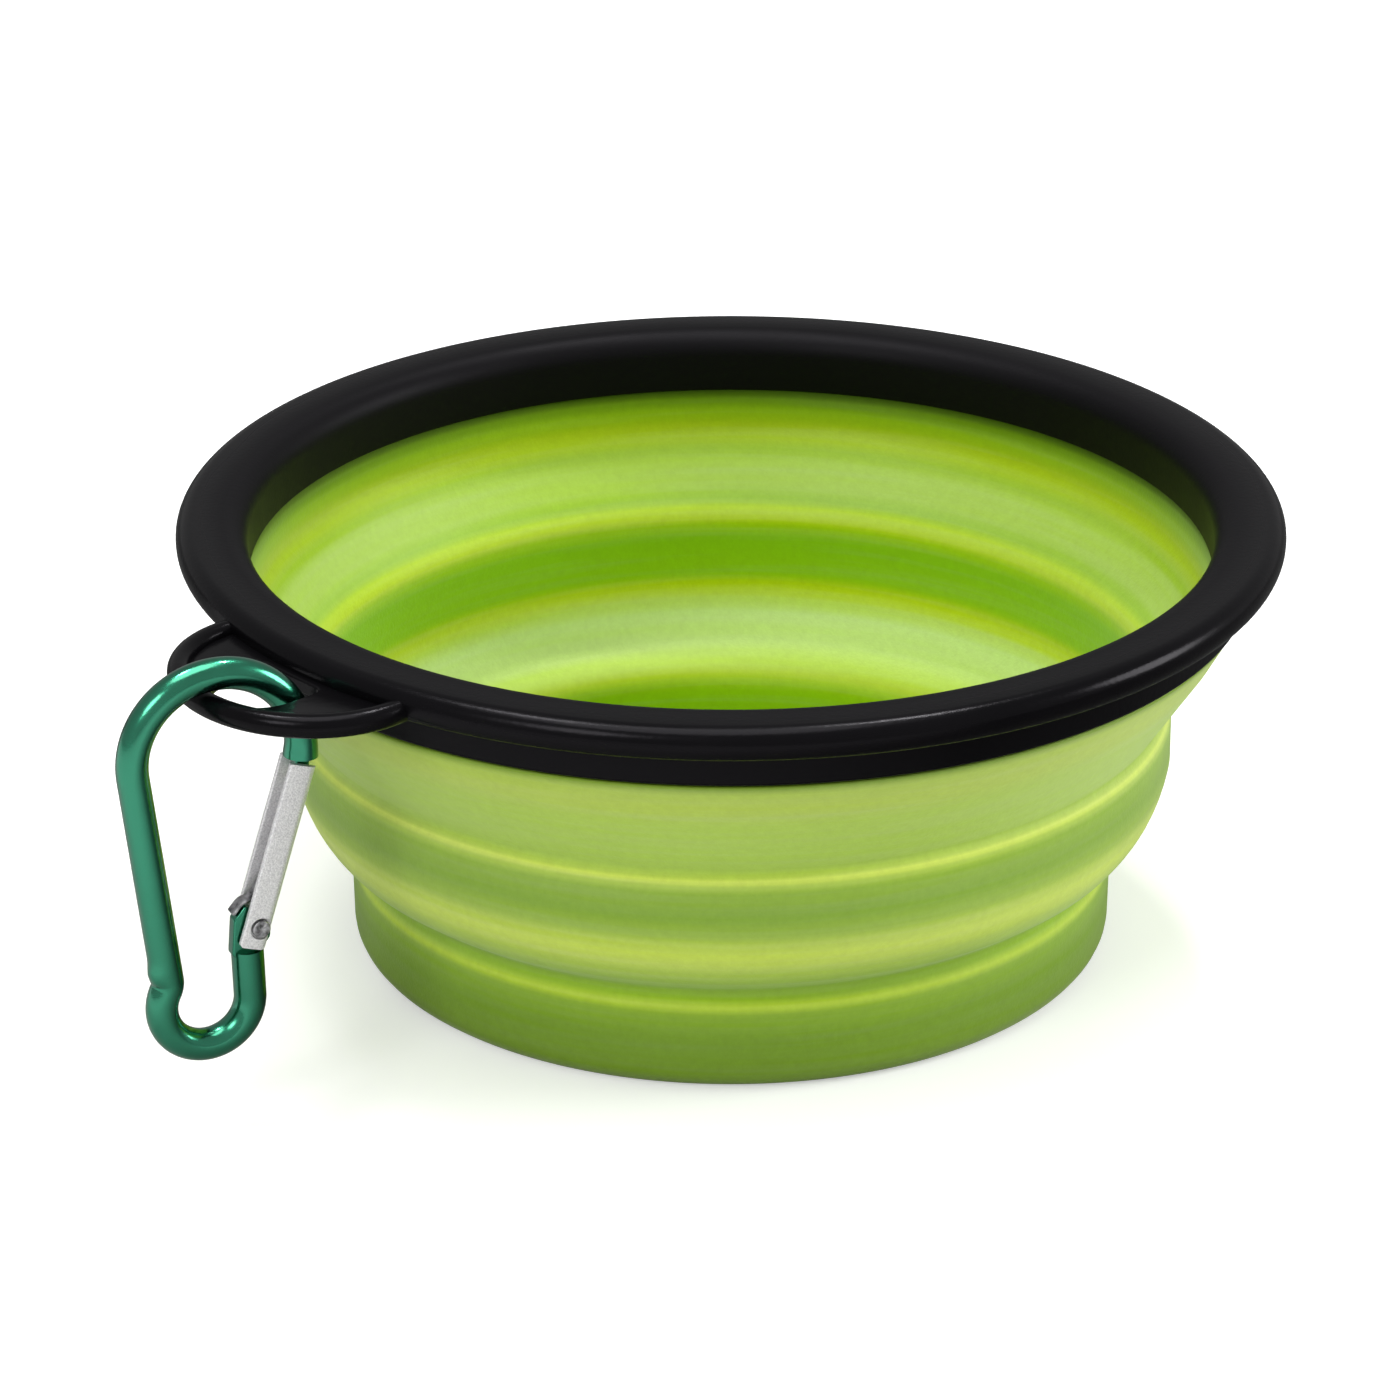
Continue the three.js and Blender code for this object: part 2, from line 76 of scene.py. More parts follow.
# Cup, in mm
FLOOR_THICKNESS = 2.2
FLOOR_FILLET = 1.8
BASE_EDGE_RADIUS = 2.8
BASE_DRAFT = 0.2
BASE_TOP_Z = 10.7
BASE_TOP_FILLET = 2.0
NECK_RADIUS = 44.9
NECK_Z = 12.9
NECK_FILLET = 3.0
LOWER_INNER_RADIUS = 43.8
LOWER_OUTER_RADIUS = 45.5
LOWER_FOLD_Z = 13.2
LOWER_WEB_TOP_Z = 23.6
MIDDLE_INNER_RADIUS = 50.2
MIDDLE_OUTER_RADIUS = 52.3
MIDDLE_Z = 22.5
MIDDLE_TOP_Z = 29.2
MIDDLE_TOP_FILLET = 2.0
SEAM_Z = 26.2
UPPER_FOLD_Z = 31.9
UPPER_INNER_RADIUS = 56.6
UPPER_Z = 41.5
UPPER_WEB_FOOT_FILLET = 0.8
UPPER_WEB_TOP_FILLET = 3.0
INNER_CREASE_FILLET = 4.0
FOLD_RADIAL = 1.33
FOLD_DROP = 0.89
SHOULDER_RADIUS = 60.6
SHOULDER_Z = 45.4
SEAT_Z = 46.1
TUCK_RADIUS = 57.1
TUCK_Z = 47.6
LIP_INNER_RADIUS = 58.3
LIP_OUTER_RADIUS = 59.3
LIP_TOP_Z = 51.0
LIP_EDGE_RADIUS = 0.3

# The lower web is bowed: (radius, height) of each side's control point in mm,
# and the count of curve points left out beside the crease to make room for its fillet
WEB_INNER_CONTROL = (49.4, 15.2)
WEB_OUTER_CONTROL = (50.9, 15.7)
WEB_INNER_SKIP = 4
WEB_OUTER_SKIP = 3

# Rim and tab, in mm
SKIRT_RADIUS = 56.6
SKIRT_OUTER_RADIUS = 58.0
SKIRT_Z = 46.4
SKIRT_EDGE_RADIUS = 0.4
GROOVE_EDGE_RADIUS = 0.3
CHANNEL_Z = 51.3
COLLAR_INNER_RADIUS = 59.6
COLLAR_RADIUS = 61.1
COLLAR_Z = 45.7
COLLAR_EDGE_RADIUS = 0.5
BEAD_Z = 49.9
BEAD_FILLET = 2.0
BEAD_NOTCH_FILLET = 1.2
RIM_TOP_Z = 54.0
RIM_INNER_EDGE_RADIUS = 3.0
RIM_RADIUS = 65.0
SATIN_RADIUS = 59.5
POLISHED_RADIUS = 62.5
TAB_AZIMUTH = math.radians(222.5)
TAB_ROOT_RADIUS = 64.0
TAB_SIDE = 14.9
TAB_PLATE_Z = 50.0
TAB_PLATE_THICKNESS = 1.6
TAB_BEVEL = 0.25
TAB_LIP_Z = 51.35
TAB_LIP_RADIUS = 1.4
BAR_RADIUS = 77.23
HOLE_INNER = 65.8
HOLE_OUTER = 75.83
HOLE_HALF_WIDTH = 5.32
HOLE_CORNER = 1.2

# Carabiner, in mm, in its own plane: X towards the gate, Z up, the top arc's centre at the origin
WIRE_RADIUS = 1.84
ARC_RADIUS = 9.8
NOSE_LENGTH = 0.9
LOOP_DROP = 29.9
LOOP_RADIUS = 5.2
LOOP_START = math.radians(158)
BEND_REACH = 0.7
NECK_LEAN = math.radians(6)
NECK_LENGTH = 5.6
LUG_LEFT = 2.6
LUG_THICKNESS = 1.7
LUG_EYE_RADIUS = 1.5
LUG_DROP = 3.8
LUG_PEAK = 2.5
LUG_PEAK_INSET = 1.2
LUG_SHOULDER = 0.8
LUG_BEVEL = 0.22
TONGUE_LENGTH = 2.0
TONGUE_WIDTH = 1.6
TONGUE_BEVEL = 0.2
RIVET_X = 5.5
RIVET_Z = -20.8
RIVET_SHAFT_RADIUS = 0.65
RIVET_HOLE_RADIUS = 0.95
RIVET_HOLE_REACH = 3.0
RIVET_HEAD_RADIUS = 1.04
RIVET_HEAD_HEIGHT = 0.6
RIVET_PROUD = 0.2
RIVET_SINK_RADIUS = 1.3
RIVET_SINK_PAST = 0.5
GATE_WALL = 0.65
GATE_FRONT = -1.95
GATE_BACK = 1.35
GATE_GAP = 2.4
GATE_DEPTH = 3.7
GATE_TAIL = 2.5
GATE_LENGTH = 19.71
GATE_EDGE_RADIUS = 1.0
GATE_BACK_START = 3.2
GATE_SLOT_OVERLAP = 0.3
GATE_LEAN = math.radians(13.02)
SPRING_THICKNESS = 0.36
SPRING_WIDTH = 1.6
SPRING_BEVEL = 0.06
SPRING_LINE = ((-3.3, 0.8), (-2.6, 2.5), (-1.6, 2.8), (-1.0, 4.4), (0.1, 8.6), (0.42, 12.6))

# Points along each stretch of the wire
ARC_STEPS = 72
SPINE_STEPS = 40
BEND_STEPS = 10
LOOP_STEPS = 56
NECK_STEPS = 8

# The wire swells at its nose and on one side at the foot of its spine: share of the radius,
# and place and spread counted in points of the wire
NOSE_SWELL = 0.08
NOSE_SPREAD = 3.0
KINK_SWELL = 0.2
KINK_STATION = 112
KINK_SPREAD = 1.6
KINK_FACING = 0.4

# The rivet's peened faces: rings as shares of the head's radius, and the star of dents
PEEN_RINGS = (0.75, 0.5, 0.25)
PEEN_DEPTH = 0.16
PEEN_POINTS = 4
PEEN_TWIST = 3

# Where the carabiner hangs: the tab's bar in the world and in the carabiner's own plane, in mm
BAR_POINT = Vector((-56.940, -52.176, 51.350))
BAR_X = -1.009
BAR_Z = 5.965
HANG_AZIMUTH = math.radians(24)
HANG_TILT = math.radians(4.6)


def srgb(red, green, blue):
    """A colour as seen, 0 to 255, in scene-linear form."""
    linear = []
    for value in (red, green, blue):
        part = value / 255
        linear.append(part / 12.92 if part < 0.04045 else ((part + 0.055) / 1.055) ** 2.4)
    return (*linear, 1.0)


# Outlines

def rounded(corners, steps=FILLET_STEPS):
    """A closed outline from corners (x, y) or (x, y, fillet radius)."""
    points = []
    count = len(corners)
    for i, corner in enumerate(corners):
        here = Vector(corner[:2])
        radius = corner[2] if len(corner) > 2 else 0.0
        to_last = Vector(corners[i - 1][:2]) - here
        to_next = Vector(corners[(i + 1) % count][:2]) - here
        half = to_last.angle(to_next) / 2
        is_straight = abs(half - math.pi / 2) < 1e-4
        if radius == 0 or is_straight:
            points.append(here)
            continue
        # A fillet takes at most about half of each side
        reach = min(radius / math.tan(half), 0.49 * to_last.length, 0.49 * to_next.length)
        radius = reach * math.tan(half)
        bisector = (to_last.normalized() + to_next.normalized()).normalized()
        centre = here + bisector * (radius / math.sin(half))
        start = here + to_last.normalized() * reach - centre
        end = here + to_next.normalized() * reach - centre
        sweep = start.angle_signed(end)
        for step in range(steps + 1):
            turn = Matrix.Rotation(-sweep * step / steps, 2)
            points.append(centre + turn @ start)
    return points


def refined(points, tallest=0.5):
    """The closed outline with its tall sides split by height in mm, for the tones."""
    fine = []
    for a, b in zip(points, points[1:] + points[:1]):
        pieces = max(1, math.ceil(abs(b.y - a.y) / tallest))
        fine += [a.lerp(b, i / pieces) for i in range(pieces)]
    return fine


def bezier(a, b, c, steps):
    """Points of a quadratic curve, without its two ends."""
    a, b, c = Vector(a), Vector(b), Vector(c)
    shares = [i / steps for i in range(1, steps)]
    return [tuple(a * (1 - t) ** 2 + b * 2 * t * (1 - t) + c * t * t) for t in shares]


def arc(centre, radius, start, end, steps):
    """Points of an arc, with both ends."""
    angles = [start + (end - start) * i / steps for i in range(steps + 1)]
    return [(centre[0] + radius * math.cos(a), centre[1] + radius * math.sin(a)) for a in angles]


def circle(centre, radius, sides):
    return arc(centre, radius, 0, TURN * (sides - 1) / sides, sides - 1)


# Meshes

def shade(obj, smooth_angle=SMOOTH_ANGLE):
    """Smooth faces, with sharp edges where they meet at more than the angle."""
    limit = math.radians(smooth_angle)
    bm = bmesh.new()
    bm.from_mesh(obj.data)
    for face in bm.faces:
        face.smooth = True
    for edge in bm.edges:
        edge.smooth = edge.calc_face_angle(math.pi) < limit
    bm.to_mesh(obj.data)
    bm.free()


def finish_mesh(name, bm):
    """A linked object from a bmesh, with its faces turned outwards."""
    bmesh.ops.recalc_face_normals(bm, faces=bm.faces)
    mesh = bpy.data.meshes.new(name)
    bm.to_mesh(mesh)
    bm.free()
    obj = bpy.data.objects.new(name, mesh)
    bpy.context.collection.objects.link(obj)
    shade(obj)
    return obj


def lathe(name, outline, segments=LATHE_SEGMENTS):
    """A closed (radius, height) outline in mm, turned about Z."""
    bm = bmesh.new()
    rings = []
    for radius, height in outline:
        count = segments if radius > 1e-6 else 1
        ring = []
        for i in range(count):
            angle = TURN * i / segments
            x = radius * MM * math.cos(angle)
            y = radius * MM * math.sin(angle)
            ring.append(bm.verts.new((x, y, height * MM)))
        rings.append(ring)
    for low, high in zip(rings, rings[1:] + rings[:1]):
        for i in range(segments):
            j = i + 1
            quad = [low[i % len(low)], low[j % len(low)], high[j % len(high)], high[i % len(high)]]
            face = list(dict.fromkeys(quad))
            if len(face) > 2:
                bm.faces.new(face)
    return finish_mesh(name, bm)


def prism(name, outline, low, high, along="z"):
    """A closed outline in mm carried from low to high along one axis."""
    bm = bmesh.new()
    rings = []
    for depth in (low, high):
        spots = [(x, depth, y) if along == "y" else (x, y, depth) for x, y in outline]
        rings.append([bm.verts.new(Vector(spot) * MM) for spot in spots])
    bm.faces.new(rings[0])
    bm.faces.new(rings[1][::-1])
    for i in range(len(outline)):
        j = (i + 1) % len(outline)
        bm.faces.new([rings[0][i], rings[0][j], rings[1][j], rings[1][i]])
    return finish_mesh(name, bm)


def box(name, x0, x1, y0, y1, z0, z1):
    return prism(name, [(x0, y0), (x1, y0), (x1, y1), (x0, y1)], z0, z1)


def tube(name, spots, normal, radius_at, sides):
    """A bar along points in mm in the plane of a normal; its radius may vary by point and angle."""
    bm = bmesh.new()
    rings = []
    last = len(spots) - 1
    for i, spot in enumerate(spots):
        tangent = (spots[min(i + 1, last)] - spots[max(i - 1, 0)]).normalized()
        across = tangent.cross(normal).normalized()
        ring = []
        for k in range(sides):
            angle = TURN * k / sides
            offset = across * math.cos(angle) + normal * math.sin(angle)
            ring.append(bm.verts.new((spot + offset * radius_at(i, angle)) * MM))
        rings.append(ring)
    for low, high in zip(rings, rings[1:]):
        for k in range(sides):
            j = (k + 1) % sides
            bm.faces.new([low[k], low[j], high[j], high[k]])
    bm.faces.new(rings[0][::-1])
    bm.faces.new(rings[-1])
    return finish_mesh(name, bm)


def settle(obj):
    """Make the object's modifiers part of its mesh."""
    graph = bpy.context.evaluated_depsgraph_get()
    mesh = bpy.data.meshes.new_from_object(obj.evaluated_get(graph))
    obj.modifiers.clear()
    obj.data = mesh


def combine(target, tool, operation):
    """Join a second solid to the target, or cut with it, and remove the second solid."""
    modifier = target.modifiers.new(operation, "BOOLEAN")
    modifier.operation = operation
    modifier.solver = "EXACT"
    modifier.object = tool
    settle(target)
    bpy.data.objects.remove(tool)


def soften(obj, width, segments=3):
    """Round the sharp edges by a width in mm."""
    modifier = obj.modifiers.new("edges", "BEVEL")
    modifier.width = width * MM
    modifier.segments = segments
    modifier.limit_method = "ANGLE"
    modifier.angle_limit = math.radians(BEVEL_ANGLE)
    settle(obj)


def place(obj, matrix):
    obj.data.transform(matrix)
    obj.data.update()


# Materials

def new_material(name):
    material = bpy.data.materials.new(name)
    material.use_nodes = True
    nodes = material.node_tree.nodes
    return material, nodes, material.node_tree.links, nodes["Principled BSDF"]


def add_position(nodes):
    return nodes.new("ShaderNodeTexCoord").outputs["Object"]


def add_noise(nodes, links, scale, detail=3.0, roughness=0.55, stretch=None):
    """Noise over the object, whose scale may differ by axis."""
    position = add_position(nodes)
    if stretch:
        mapping = nodes.new("ShaderNodeMapping")
        mapping.inputs["Scale"].default_value = stretch
        links.new(position, mapping.inputs["Vector"])
        position = mapping.outputs["Vector"]
    noise = nodes.new("ShaderNodeTexNoise")
    noise.inputs["Scale"].default_value = scale
    noise.inputs["Detail"].default_value = detail
    noise.inputs["Roughness"].default_value = roughness
    links.new(position, noise.inputs["Vector"])
    return noise.outputs["Fac"]


def add_range(nodes, links, value, start, end, low, high):
    """A value that runs from start to end, carried over to low to high."""
    carry = nodes.new("ShaderNodeMapRange")
    carry.inputs["From Min"].default_value = start
    carry.inputs["From Max"].default_value = end
    carry.inputs["To Min"].default_value = low
    carry.inputs["To Max"].default_value = high
    links.new(value, carry.inputs["Value"])
    return carry.outputs["Result"]


def spread(nodes, links, noise, low, high):
    """A noise value, mostly 0.3 to 0.7, stretched to low to high."""
    return add_range(nodes, links, noise, 0.3, 0.7, low, high)


def add_math(nodes, links, operation, first, second):
    step = nodes.new("ShaderNodeMath")
    step.operation = operation
    links.new(first, step.inputs[0])
    links.new(second, step.inputs[1])
    return step.outputs["Value"]


def add_vector_math(nodes, links, operation, vector, constant=(0, 0, 0)):
    step = nodes.new("ShaderNodeVectorMath")
    step.operation = operation
    step.inputs[1].default_value = constant
    links.new(vector, step.inputs[0])
    return step


def blend_colours(nodes, links, factor, first, second):
    """A mix of two colours, each a constant or another node's output."""
    mix = nodes.new("ShaderNodeMix")
    mix.data_type = "RGBA"
    links.new(factor, mix.inputs["Factor"])
    for socket, colour in ((mix.inputs["A"], first), (mix.inputs["B"], second)):
        if isinstance(colour, tuple):
            socket.default_value = colour
        else:
            links.new(colour, socket)
    return mix.outputs["Result"]


def add_bump(nodes, links, shader, height, strength, distance):
    bump = nodes.new("ShaderNodeBump")
    bump.inputs["Strength"].default_value = strength
    bump.inputs["Distance"].default_value = distance
    links.new(height, bump.inputs["Height"])
    links.new(bump.outputs["Normal"], shader.inputs["Normal"])


def silicone():
    """Soft green with the painted tones, which carry painted light and shade, faint level streaks, a fine
    grain and a dull sheen.
    """
    material, nodes, links, shader = new_material("green_silicone")
    tone_and_painted_light = nodes.new("ShaderNodeAttribute")
    tone_and_painted_light.attribute_name = "tone_and_painted_light"
    cloud = add_noise(nodes, links, 70.0, 5.0)
    speckle = add_noise(nodes, links, 900.0, 4.0, 0.7)
    streaks = add_noise(nodes, links, 1.0, 2.0, stretch=(25, 25, 900))
    grain = add_noise(nodes, links, 2600.0, 2.0)
    vary = nodes.new("ShaderNodeHueSaturation")
    links.new(tone_and_painted_light.outputs["Color"], vary.inputs["Color"])
    links.new(spread(nodes, links, speckle, 0.95, 1.05), vary.inputs["Value"])
    links.new(spread(nodes, links, streaks, 0.95, 1.05), vary.inputs["Saturation"])
    links.new(vary.outputs["Color"], shader.inputs["Base Color"])
    links.new(spread(nodes, links, cloud, 0.44, 0.54), shader.inputs["Roughness"])
    shader.inputs["IOR"].default_value = 1.41
    shader.inputs["Specular IOR Level"].default_value = 0.25
    shader.inputs["Sheen Weight"].default_value = 0.3
    shader.inputs["Sheen Roughness"].default_value = 0.45
    shader.inputs["Sheen Tint"].default_value = (0.92, 1.0, 0.75, 1)
    add_bump(nodes, links, shader, grain, 0.15, 0.0002)
    return material


def black_plastic():
    """Moulded plastic: polished on the bead, satin on the skirt inside it."""
    material, nodes, links, shader = new_material("black_plastic")
    cloud = add_noise(nodes, links, 60.0)
    grain = add_noise(nodes, links, 1500.0, 2.0)
    colour = blend_colours(nodes, links, cloud, srgb(6, 6, 7), srgb(10, 9, 11))
    links.new(colour, shader.inputs["Base Color"])
    level = add_vector_math(nodes, links, "MULTIPLY", add_position(nodes), (1, 1, 0))
    radius = add_vector_math(nodes, links, "LENGTH", level.outputs["Vector"])
    polish = add_range(nodes, links, radius.outputs["Value"],
                       SATIN_RADIUS * MM, POLISHED_RADIUS * MM, 0.5, 0.22)
    uneven = spread(nodes, links, cloud, -0.04, 0.04)
    links.new(add_math(nodes, links, "ADD", polish, uneven), shader.inputs["Roughness"])
    shader.inputs["Specular IOR Level"].default_value = 0.09
    shader.inputs["Specular Tint"].default_value = (0.96, 0.92, 1.0, 1)
    add_bump(nodes, links, shader, grain, 0.1, 0.0002)
    return material


def green_anodised():
    material, nodes, links, shader = new_material("green_anodised")
    cloud = add_noise(nodes, links, 180.0)
    grain = add_noise(nodes, links, 3500.0, 3.0)
    colour = blend_colours(nodes, links, cloud, srgb(36, 124, 94), srgb(49, 142, 111))
    links.new(colour, shader.inputs["Base Color"])
    links.new(spread(nodes, links, cloud, 0.16, 0.26), shader.inputs["Roughness"])
    shader.inputs["Metallic"].default_value = 1.0
    shader.inputs["Coat Weight"].default_value = 0.6
    shader.inputs["Coat Roughness"].default_value = 0.12
    add_bump(nodes, links, shader, grain, 0.1, 0.0001)
    return material


def bare_aluminium():
    """Tumbled metal with a speckled face."""
    material, nodes, links, shader = new_material("bare_aluminium")
    speckle = add_noise(nodes, links, 5200.0, 2.0, 0.7)
    share = spread(nodes, links, speckle, 0.0, 1.0)
    colour = blend_colours(nodes, links, share, srgb(206, 205, 207), srgb(255, 254, 254))
    links.new(colour, shader.inputs["Base Color"])
    shader.inputs["Metallic"].default_value = 0.5
    shader.inputs["Roughness"].default_value = 0.4
    add_bump(nodes, links, shader, speckle, 0.35, 0.0002)
    return material


def steel():
    """Hammered metal with dark and bright patches."""
    material, nodes, links, shader = new_material("steel")
    cloud = add_noise(nodes, links, 1100.0)
    share = spread(nodes, links, cloud, 0.0, 1.0)
    colour = blend_colours(nodes, links, share, srgb(72, 71, 74), srgb(216, 215, 218))
    links.new(colour, shader.inputs["Base Color"])
    links.new(spread(nodes, links, cloud, 0.28, 0.44), shader.inputs["Roughness"])
    shader.inputs["Metallic"].default_value = 1.0
    add_bump(nodes, links, shader, cloud, 0.4, 0.0002)
    return material


def dress(obj, material):
    obj.data.materials.clear()
    obj.data.materials.append(material)


# Cup

# Tones of the silicone by height in mm, as seen, with painted light and shade: pale where the webs are
# thin, partly their own tone and partly painted light shining through them, and painted highlights as
# yellowish lines at their edges
# Outside, the walls are painted darker as shade, darker towards the bottom, the notch above the base
# painted lighter against its shade, and a painted shadow lies under the rim's collar at the top
OUTER_TONES_AND_PAINTED_LIGHT = (
    (0, (118, 150, 46)), (6, (121, 156, 46)), (9.6, (136, 172, 51)), (10.9, (184, 210, 66)),
    (12, (146, 184, 50)), (13.4, (138, 176, 50)), (15.2, (146, 181, 57)), (17, (166, 194, 74)),
    (19, (188, 209, 88)), (20.2, (194, 214, 92)), (21.6, (180, 203, 84)), (23.4, (147, 178, 68)),
    (25.4, (131, 165, 60)), (28.4, (141, 174, 64)), (29.2, (168, 195, 78)), (29.8, (210, 226, 104)),
    (30.5, (172, 199, 83)), (31.2, (158, 188, 74)), (34, (163, 193, 80)), (38, (165, 194, 81)),
    (42, (170, 192, 83)), (43.9, (165, 188, 78)), (45.4, (116, 145, 45)),
)
# Inside, the up-facing webs carry painted light, the creases painted highlights, the steep walls painted
# shade, and a painted shadow deepens under the rim's skirt at the top
INNER_TONES_AND_PAINTED_LIGHT = (
    (2.2, (112, 152, 30)), (5, (124, 170, 14)), (9.3, (150, 195, 2)), (10.4, (154, 198, 10)),
    (11.6, (164, 199, 32)), (13, (174, 196, 64)), (14.2, (173, 200, 80)), (15.8, (178, 205, 112)),
    (19, (193, 219, 132)), (20.6, (190, 214, 98)), (21.6, (192, 212, 62)), (22.8, (188, 208, 38)),
    (24.4, (146, 193, 6)), (29, (138, 189, 2)), (30.4, (160, 199, 22)), (31.6, (183, 205, 58)),
    (32.8, (174, 200, 58)), (33.8, (146, 182, 58)), (35.4, (160, 190, 80)), (37.8, (160, 190, 80)),
    (39.2, (144, 177, 45)), (40.4, (154, 181, 24)), (41.8, (153, 178, 4)), (43.4, (138, 172, 0)),
    (45, (106, 140, 0)), (46.1, (66, 90, 0)),
)
# A face whose normal rises or falls this steeply counts as level
LEVEL_NORMAL = 0.9


def tone_and_light_at(tones, height):
    """The tone with its painted light and shade at a height, eased from each entry of the table to the
    next.
    """
    last_z, last_colour = tones[0]
    for z, colour in tones:
        if height <= z:
            share = (height - last_z) / (z - last_z) if z > last_z else 1.0
            share = min(1.0, max(0.0, share))
            share = share * share * (3 - 2 * share)
            return srgb(*[a + (b - a) * share for a, b in zip(last_colour, colour)])
        last_z, last_colour = z, colour
    return srgb(*last_colour)


def paint_cup_tone_and_light(obj):
    """A colour for each vertex from its height and from the side it faces: the tone with its painted
    light and shade.
    """
    tone_and_painted_light = obj.data.attributes.new("tone_and_painted_light", "FLOAT_COLOR", "POINT")
    for i, vertex in enumerate(obj.data.vertices):
        normal = vertex.normal
        inward = normal.x * vertex.co.x + normal.y * vertex.co.y < 0
        inside = normal.z > LEVEL_NORMAL or (inward and normal.z > -LEVEL_NORMAL)
        tone_and_painted_light.data[i].color = tone_and_light_at(INNER_TONES_AND_PAINTED_LIGHT if inside else OUTER_TONES_AND_PAINTED_LIGHT, vertex.co.z / MM)


def cup_upper_outline():
    """Up the outside from the seam on the middle wall, round the lip, and down the inside."""
    return refined(rounded([
        (MIDDLE_OUTER_RADIUS, SEAM_Z),
        (MIDDLE_OUTER_RADIUS, MIDDLE_TOP_Z, MIDDLE_TOP_FILLET),
        (MIDDLE_INNER_RADIUS + FOLD_RADIAL, UPPER_FOLD_Z - FOLD_DROP, UPPER_WEB_FOOT_FILLET),
        (UPPER_INNER_RADIUS + FOLD_RADIAL, UPPER_Z - FOLD_DROP, UPPER_WEB_TOP_FILLET),
        (SHOULDER_RADIUS, SHOULDER_Z, LIP_EDGE_RADIUS),
        (LIP_OUTER_RADIUS, SHOULDER_Z),
        (LIP_OUTER_RADIUS, LIP_TOP_Z, LIP_EDGE_RADIUS),
        (LIP_INNER_RADIUS, LIP_TOP_Z, LIP_EDGE_RADIUS),
        (LIP_INNER_RADIUS, TUCK_Z),
        (TUCK_RADIUS, TUCK_Z),
        (TUCK_RADIUS, SEAT_Z),
        (UPPER_INNER_RADIUS, UPPER_Z, INNER_CREASE_FILLET),
        (MIDDLE_INNER_RADIUS, UPPER_FOLD_Z, INNER_CREASE_FILLET),
        (MIDDLE_INNER_RADIUS, SEAM_Z),
    ]))


def cup_lower_outline():
    """Down the inside from the seam to the floor's middle, and up the outside from the underside."""
    web_foot_in = (LOWER_INNER_RADIUS, LOWER_FOLD_Z)
    web_top_in = (MIDDLE_INNER_RADIUS, MIDDLE_Z)
    web_foot_out = (NECK_RADIUS, NECK_Z)
    web_top_out = (MIDDLE_OUTER_RADIUS, LOWER_WEB_TOP_Z)
    web_in = bezier(web_top_in, WEB_INNER_CONTROL, web_foot_in, BOW_STEPS)
    web_out = bezier(web_foot_out, WEB_OUTER_CONTROL, web_top_out, BOW_STEPS)
    return refined(rounded([
        (MIDDLE_INNER_RADIUS, SEAM_Z),
        web_top_in,
        *web_in[:-WEB_INNER_SKIP],
        (*web_foot_in, INNER_CREASE_FILLET),
        (LOWER_INNER_RADIUS, FLOOR_THICKNESS, FLOOR_FILLET),
        (0, FLOOR_THICKNESS),
        (0, 0),
        (LOWER_OUTER_RADIUS - BASE_DRAFT, 0, BASE_EDGE_RADIUS),
        (LOWER_OUTER_RADIUS, BASE_TOP_Z, BASE_TOP_FILLET),
        (*web_foot_out, NECK_FILLET),
        *web_out[WEB_OUTER_SKIP:],
        web_top_out,
        (MIDDLE_OUTER_RADIUS, SEAM_Z),
    ]))


def build_cup():
    look = silicone()
    upper = lathe("cup_upper", cup_upper_outline())
    lower = lathe("cup_lower", cup_lower_outline())
    for obj in (upper, lower):
        paint_cup_tone_and_light(obj)
        dress(obj, look)
    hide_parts("upper_wall", "upper_fold", "middle_wall")
    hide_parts("lower_fold", "base_cup")
    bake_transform(upper)
    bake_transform(lower)


# Rim with its tab

def rim_outline():
    """Up through the groove that holds the cup's lip, down to the collar, and over the bead."""
    return rounded([
        (SKIRT_OUTER_RADIUS, SKIRT_Z, GROOVE_EDGE_RADIUS),
        (SKIRT_OUTER_RADIUS, CHANNEL_Z),
        (COLLAR_INNER_RADIUS, CHANNEL_Z),
        (COLLAR_INNER_RADIUS, COLLAR_Z, GROOVE_EDGE_RADIUS),
        (COLLAR_RADIUS, COLLAR_Z, COLLAR_EDGE_RADIUS),
        (COLLAR_RADIUS, BEAD_Z, BEAD_NOTCH_FILLET),
        (RIM_RADIUS, BEAD_Z, BEAD_FILLET),
        (RIM_RADIUS, RIM_TOP_Z, BEAD_FILLET),
        (SKIRT_RADIUS, RIM_TOP_Z, RIM_INNER_EDGE_RADIUS),
        (SKIRT_RADIUS, SKIRT_Z, SKIRT_EDGE_RADIUS),
    ], RIM_FILLET_STEPS)


def tab_edge(root):
    """The tab's edge seen from above, pointing along X: half an ellipse between two straight sides."""
    edge = [(root, -TAB_SIDE)]
    for i in range(TAB_STEPS + 1):
        angle = math.pi * (i / TAB_STEPS - 0.5)
        reach = (BAR_RADIUS - TAB_ROOT_RADIUS) * math.cos(angle)
        edge.append((TAB_ROOT_RADIUS + reach, TAB_SIDE * math.sin(angle)))
    edge.append((root, TAB_SIDE))
    return edge


def tab_plate():
    root = (COLLAR_INNER_RADIUS + COLLAR_RADIUS) / 2
    top = TAB_PLATE_Z + TAB_PLATE_THICKNESS
    plate = prism("tab_plate", tab_edge(root), TAB_PLATE_Z, top)
    corner = HOLE_INNER + HOLE_CORNER
    side = HOLE_HALF_WIDTH - HOLE_CORNER
    hole = prism("tab_hole", [
        *arc((HOLE_OUTER - HOLE_HALF_WIDTH, 0), HOLE_HALF_WIDTH, -TURN / 4, TURN / 4, HOLE_STEPS),
        *arc((corner, side), HOLE_CORNER, TURN / 4, TURN / 2, CORNER_STEPS),
        *arc((corner, -side), HOLE_CORNER, TURN / 2, 0.75 * TURN, CORNER_STEPS),
    ], TAB_PLATE_Z - CUT_PAST, top + CUT_PAST)
    combine(plate, hole, "DIFFERENCE")
    soften(plate, TAB_BEVEL)
    return plate


